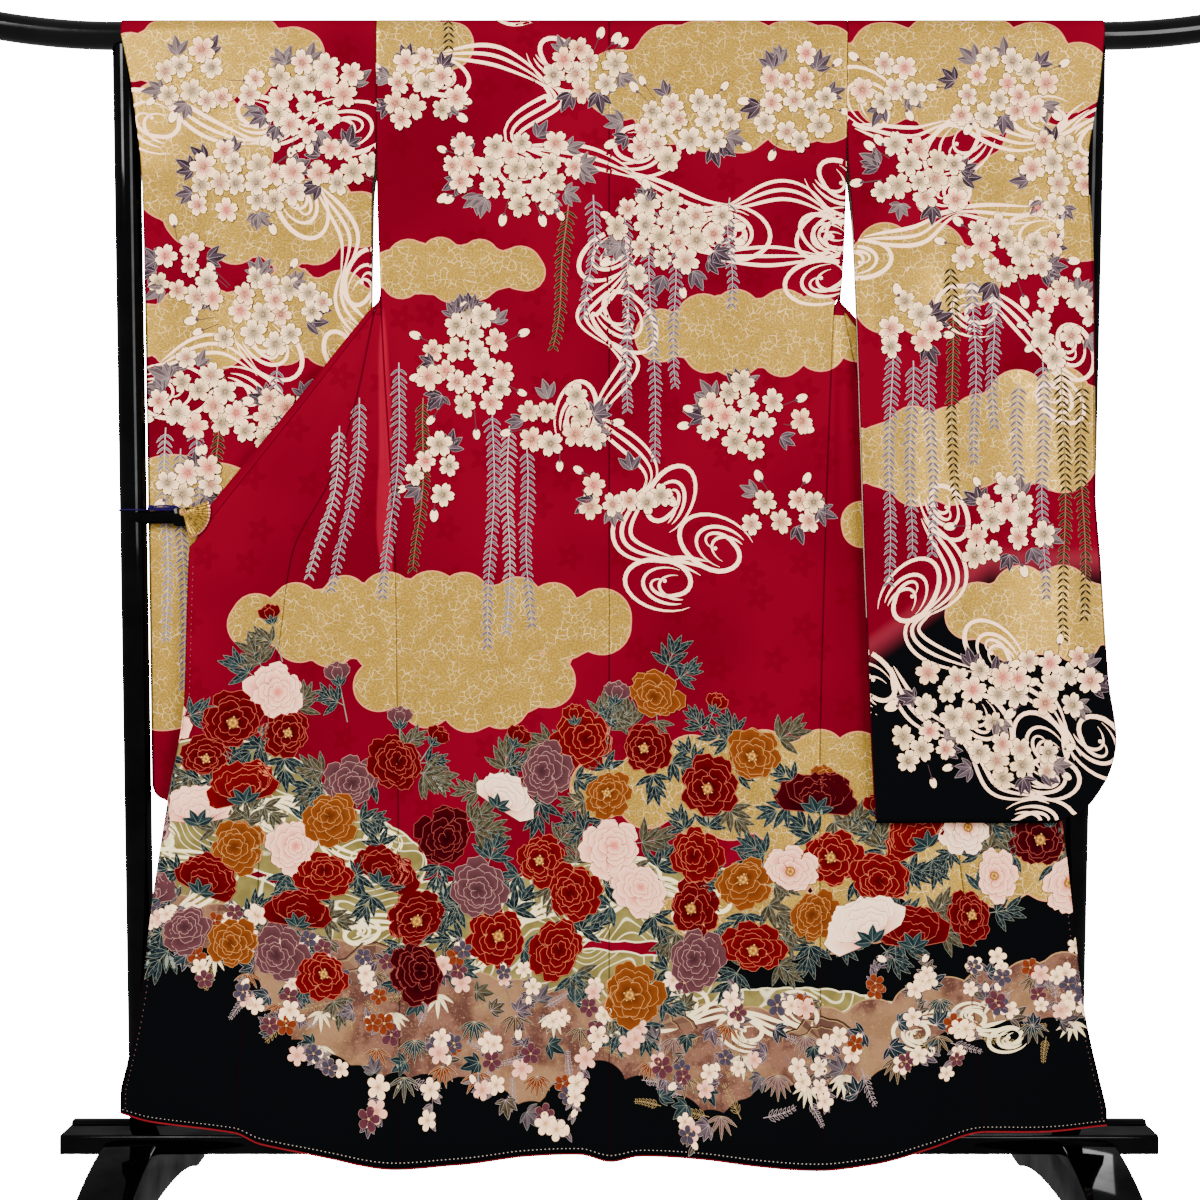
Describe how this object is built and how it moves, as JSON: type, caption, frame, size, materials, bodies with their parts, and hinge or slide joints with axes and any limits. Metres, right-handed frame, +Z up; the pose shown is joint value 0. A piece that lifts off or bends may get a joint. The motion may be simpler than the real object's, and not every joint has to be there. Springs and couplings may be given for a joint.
{
  "type": "furisode on a kimono stand",
  "caption": "Long-sleeved silk kimono hung over the rail of a lacquered stand, back outwards, with its fronts held open to both sides.",
  "frame": {"origin": "the middle of the stand's footprint, on the floor", "axes": "+X along the rail, to the right as the garment's back is seen; +Y away from that viewer; +Z up"},
  "size_m": [1.903, 0.6, 1.7241],
  "materials": {
    "silk": "satin silk, dyed and gilded",
    "lining": "plain silk",
    "lacquer": "black gloss lacquer",
    "gold_metal": "bright gilt",
    "cord": "twisted rayon"
  },
  "bodies": {
    "root": {"body_left": "silk", "body_right": "silk", "okumi_left": "silk", "okumi_right": "silk", "sleeve_left": "silk", "sleeve_right": "silk", "collar": "silk", "hem_edge_back_left": "lining", "hem_edge_back_right": "lining", "hem_edge_front_left": "lining", "hem_edge_front_right": "lining", "hem_edge_okumi_left": "lining", "hem_edge_okumi_right": "lining", "rail": "lacquer", "post_left": "lacquer", "post_right": "lacquer", "base_beam": "lacquer", "leg_left": "lacquer", "leg_right": "lacquer", "clip_arm_left": "lacquer", "clip_arm_right": "lacquer", "fan_clip_left": "gold_metal", "fan_clip_right": "gold_metal", "tie_loop": "cord", "tie_bundle": "cord"}
  },
  "joints": []
}
